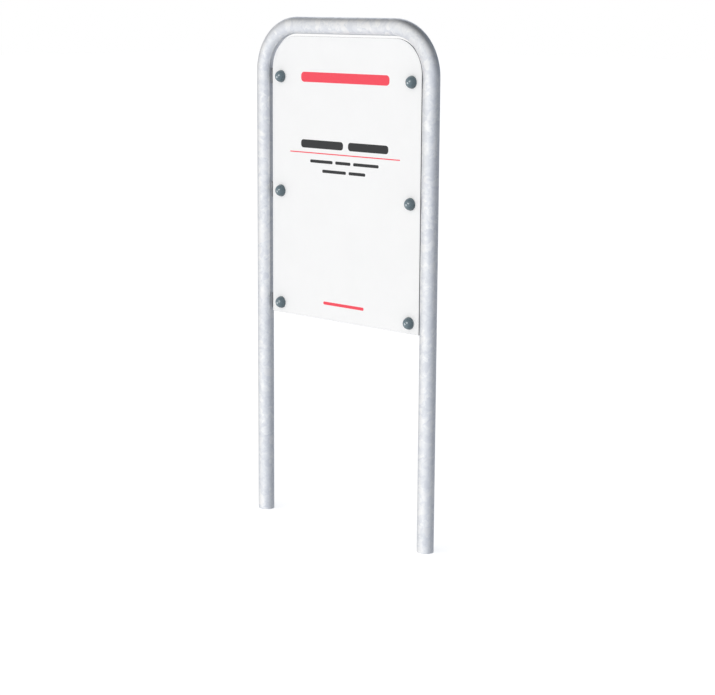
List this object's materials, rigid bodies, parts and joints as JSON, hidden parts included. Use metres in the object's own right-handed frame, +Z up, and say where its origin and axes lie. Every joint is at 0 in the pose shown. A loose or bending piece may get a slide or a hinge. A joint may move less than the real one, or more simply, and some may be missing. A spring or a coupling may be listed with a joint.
{
  "type": "park interpretation sign",
  "caption": "Galvanised steel tube hoop that stands in the ground, with a flat white board, round at its upper corners, bolted to welded lugs between the legs under domed snap caps.",
  "frame": {"origin": "on the ground midway between the two legs, in the plane of the tube's centre line", "axes": "+Z up; the board faces -Y; +X is to the right of someone who reads the board"},
  "size_m": [0.7104, 0.0484, 1.5045],
  "materials": {
    "galvanised_steel": "hot-dip galvanised, dull silver grey with mottled spangle",
    "laminate": "matt white laminate with a dark core at its cut edges",
    "cap_plastic": "slate grey moulded plastic, satin to glossy",
    "plated_steel": "zinc-plated steel"
  },
  "bodies": {
    "root": {"hoop_tube": "galvanised_steel", "panel": "laminate", "cap_dome_left_bottom": "cap_plastic", "cap_dome_left_middle": "cap_plastic", "cap_dome_left_top": "cap_plastic", "cap_dome_right_bottom": "cap_plastic", "cap_dome_right_middle": "cap_plastic", "cap_dome_right_top": "cap_plastic", "cap_base_left_bottom": "cap_plastic", "cap_base_left_middle": "cap_plastic", "cap_base_left_top": "cap_plastic", "cap_base_right_bottom": "cap_plastic", "cap_base_right_middle": "cap_plastic", "cap_base_right_top": "cap_plastic", "bolt_left_bottom": "plated_steel", "bolt_left_middle": "plated_steel", "bolt_left_top": "plated_steel", "bolt_right_bottom": "plated_steel", "bolt_right_middle": "plated_steel", "bolt_right_top": "plated_steel", "lug_left_bottom": "galvanised_steel", "lug_left_middle": "galvanised_steel", "lug_left_top": "galvanised_steel", "lug_right_bottom": "galvanised_steel", "lug_right_middle": "galvanised_steel", "lug_right_top": "galvanised_steel", "washer_left_bottom": "plated_steel", "washer_left_middle": "plated_steel", "washer_left_top": "plated_steel", "washer_right_bottom": "plated_steel", "washer_right_middle": "plated_steel", "washer_right_top": "plated_steel", "locknut_left_bottom": "plated_steel", "locknut_left_middle": "plated_steel", "locknut_left_top": "plated_steel", "locknut_right_bottom": "plated_steel", "locknut_right_middle": "plated_steel", "locknut_right_top": "plated_steel"}
  },
  "joints": []
}
